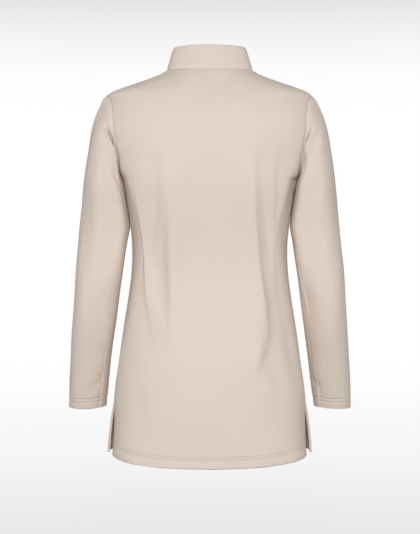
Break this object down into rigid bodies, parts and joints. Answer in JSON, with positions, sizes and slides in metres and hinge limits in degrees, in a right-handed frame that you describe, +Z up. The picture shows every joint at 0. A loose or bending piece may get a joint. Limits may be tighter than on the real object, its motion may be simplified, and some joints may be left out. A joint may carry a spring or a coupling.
{
  "type": "tunic top",
  "caption": "Long-sleeved jersey tunic in its worn, hollow form, with a stand collar, set-in sleeves, turned hems and open side slits.",
  "frame": {"origin": "middle of the neck opening, level with the neck ends of the shoulder seams, where the garment hangs from its wearer", "axes": "+Z up along the body, -Y out of the front, +X to the wearer's left"},
  "size_m": [0.5726, 0.2624, 0.8079],
  "materials": {
    "jersey": "satin"
  },
  "bodies": {
    "root": {"back_panel": "jersey", "front_panel": "jersey", "left_sleeve": "jersey", "right_sleeve": "jersey", "collar": "jersey"}
  },
  "joints": []
}
